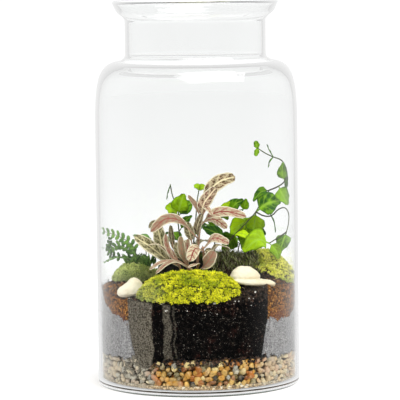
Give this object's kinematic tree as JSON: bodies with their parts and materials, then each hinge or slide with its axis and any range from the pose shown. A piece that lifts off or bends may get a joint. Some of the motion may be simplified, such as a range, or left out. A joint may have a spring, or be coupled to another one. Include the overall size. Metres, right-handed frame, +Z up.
{
  "type": "glass plant terrarium",
  "caption": "Tall clear glass jar with a flared open neck, holding gravel, root balls, moss, stones and small living plants.",
  "frame": {"origin": "middle of the jar's underside, on the surface that it stands on", "axes": "+Z up along the jar's axis, -Y towards the front of the planting, +X to the right seen from the front"},
  "size_m": [0.158, 0.158, 0.3],
  "materials": {
    "glass": "clear polished glass",
    "gravel": "small rounded pebbles, tan, orange-brown and grey",
    "black_soil": "moist black potting soil, crumbly",
    "coco_fibre": "brown coconut fibre, rough",
    "pale_fill": "fine pale grey grit, matt",
    "bright_moss": "living cushion moss, yellow-green tufts",
    "pale_moss": "living cushion moss, paler green tufts",
    "cream_stone": "smooth cream pebble, matt",
    "nerve_leaf": "living leaf, olive with pink and cream net veins",
    "vine_leaf": "living leaf, fresh green, slightly glossy",
    "fern_leaf": "living fern leaflets, mid green"
  },
  "bodies": {
    "root": {"jar": "glass", "gravel_bed": "gravel", "soil_root_ball": "black_soil", "coco_root_ball_left": "coco_fibre", "coco_root_ball_right": "coco_fibre", "pale_fill": "pale_fill", "moss_front": "bright_moss", "moss_left": "pale_moss", "moss_right": "bright_moss", "stone_left": "cream_stone", "stone_slab": "cream_stone", "stone_dome": "cream_stone", "nerve_stem_tall": "nerve_leaf", "nerve_stem_right": "nerve_leaf", "nerve_stem_left": "nerve_leaf", "nerve_tuft_centre": "nerve_leaf", "nerve_tuft_low": "nerve_leaf", "nerve_stem_back": "nerve_leaf", "vine_left": "vine_leaf", "vine_shoot": "vine_leaf", "vine_middle": "vine_leaf", "vine_main": "vine_leaf", "vine_back": "vine_leaf", "frond_high": "fern_leaf", "frond_middle": "fern_leaf", "frond_low": "fern_leaf", "frond_glass": "fern_leaf", "frond_back": "fern_leaf", "frond_back_right": "fern_leaf"}
  },
  "joints": []
}
